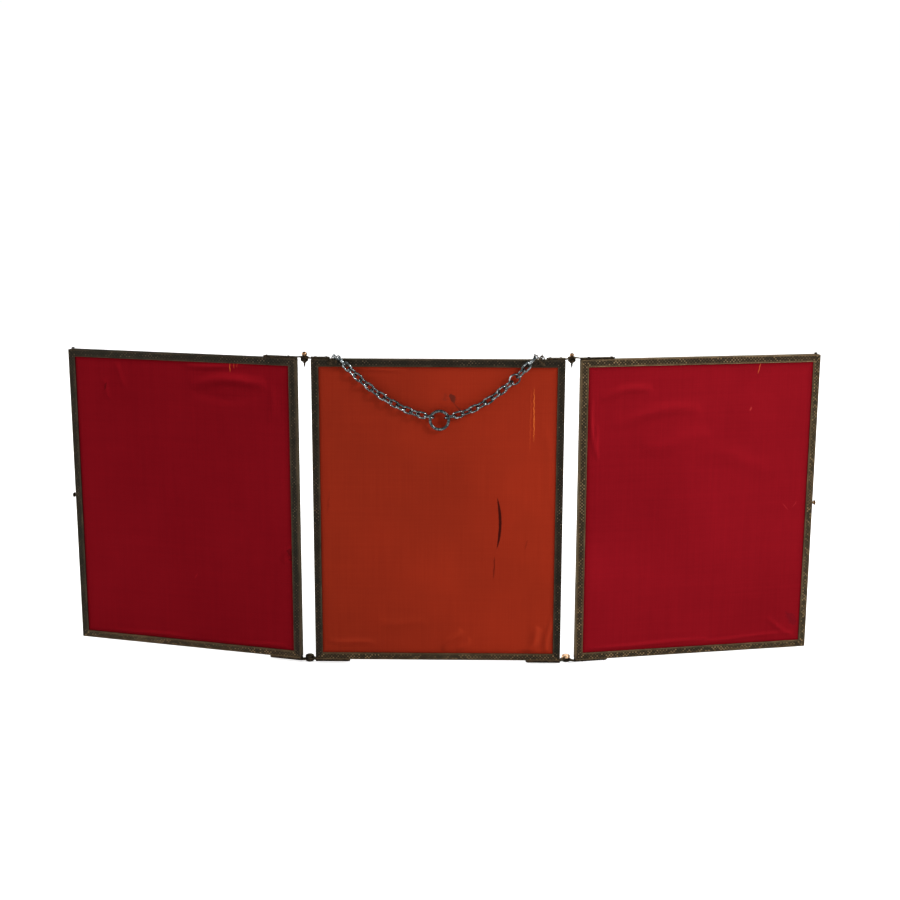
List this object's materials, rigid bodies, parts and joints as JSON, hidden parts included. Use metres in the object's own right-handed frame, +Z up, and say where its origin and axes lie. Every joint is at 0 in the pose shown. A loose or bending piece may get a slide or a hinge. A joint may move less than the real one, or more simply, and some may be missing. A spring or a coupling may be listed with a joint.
{
  "type": "folding triptych mirror",
  "caption": "Folding triptych mirror: metal-framed bevelled glass panels with satin-covered backs, strap hinges with ball-headed pins, and a hanging chain with a central ring.",
  "frame": {"origin": "on the surface that it stands on, under the middle of the box around the opened mirror", "axes": "+Z up; -Y is the side of the satin backs and the chain; +Y is the mirror side; +X runs from the left wing to the right wing as seen from the satin side"},
  "size_m": [0.751, 0.0796, 0.3113],
  "materials": {
    "patinated_brass": "stamped brass under a dark bronze and green patina, worn lighter on its edges",
    "worn_brass": "turned brass, rubbed bright on its crowns",
    "copper_nut": "turned copper-coloured brass, dull",
    "mirror_glass": "silvered plate glass with a polished bevel",
    "felt": "thin pressed felt",
    "backing_board": "grey-brown millboard",
    "orange_satin": "burnt-orange silk satin with soft sheen",
    "dark_crimson_satin": "dark crimson silk satin with soft sheen",
    "crimson_satin": "crimson silk satin with soft sheen",
    "chain_metal": "blued steel wire, rubbed bright on its crowns",
    "tie_wire": "bent iron wire, brown with age"
  },
  "bodies": {
    "centre_panel": {"centre_top_rail": "patinated_brass", "centre_bottom_rail": "patinated_brass", "centre_left_rail": "patinated_brass", "centre_right_rail": "patinated_brass", "centre_mirror": "mirror_glass", "centre_felt": "felt", "centre_board": "backing_board", "centre_satin": "orange_satin", "top_left_centre_strap": "patinated_brass", "top_right_centre_strap": "patinated_brass", "bottom_left_centre_strap": "patinated_brass", "bottom_right_centre_strap": "patinated_brass", "centre_rivets": "patinated_brass", "top_left_pin": "worn_brass", "top_right_pin": "worn_brass", "bottom_left_pin": "patinated_brass", "bottom_right_pin": "patinated_brass", "top_left_finial": "patinated_brass", "top_right_finial": "patinated_brass", "bottom_left_nut": "copper_nut", "bottom_right_nut": "copper_nut", "left_hanger_eye": "patinated_brass", "right_hanger_eye": "patinated_brass", "hanger_screw": "worn_brass"},
    "left_wing": {"left_top_rail": "patinated_brass", "left_bottom_rail": "patinated_brass", "left_outer_rail": "patinated_brass", "left_inner_rail": "patinated_brass", "left_mirror": "mirror_glass", "left_felt": "felt", "left_board": "backing_board", "left_satin": "dark_crimson_satin", "top_left_wing_strap": "patinated_brass", "bottom_left_wing_strap": "patinated_brass", "left_rivets": "patinated_brass", "left_knob": "patinated_brass", "left_stud": "patinated_brass"},
    "right_wing": {"right_top_rail": "patinated_brass", "right_bottom_rail": "patinated_brass", "right_inner_rail": "patinated_brass", "right_outer_rail": "patinated_brass", "right_mirror": "mirror_glass", "right_felt": "felt", "right_board": "backing_board", "right_satin": "crimson_satin", "top_right_wing_strap": "patinated_brass", "bottom_right_wing_strap": "patinated_brass", "right_rivets": "patinated_brass", "right_knob": "worn_brass", "right_stud": "patinated_brass"},
    "chain": {"left_wire_tie": "chain_metal", "right_wire_tie": "tie_wire", "left_chain": "chain_metal", "right_chain": "chain_metal", "replacement_link": "chain_metal"},
    "ring": {"hanging_ring": "chain_metal"}
  },
  "joints": [
    {"name": "left_wing_fold", "type": "hinge", "parent": "centre_panel", "child": "left_wing", "pos_m": [-0.12958, -0.02334, 0.1545], "axis": [0, 0, -1], "range_deg": [-84.8, 165.2]},
    {"name": "right_wing_fold", "type": "hinge", "parent": "centre_panel", "child": "right_wing", "pos_m": [0.12562, -0.01934, 0.1545], "axis": [0, 0, 1], "range_deg": [-61.2, 168.8]},
    {"name": "chain_swing", "type": "hinge", "parent": "centre_panel", "child": "chain", "pos_m": [-0.00198, -0.03154, 0.3081], "axis": [-1, 0, 0], "range_deg": [0, 180]},
    {"name": "ring_tilt", "type": "hinge", "parent": "chain", "child": "ring", "pos_m": [-0.00048, -0.03574, 0.249], "axis": [1, 0, 0], "range_deg": [-12, 12]}
  ]
}
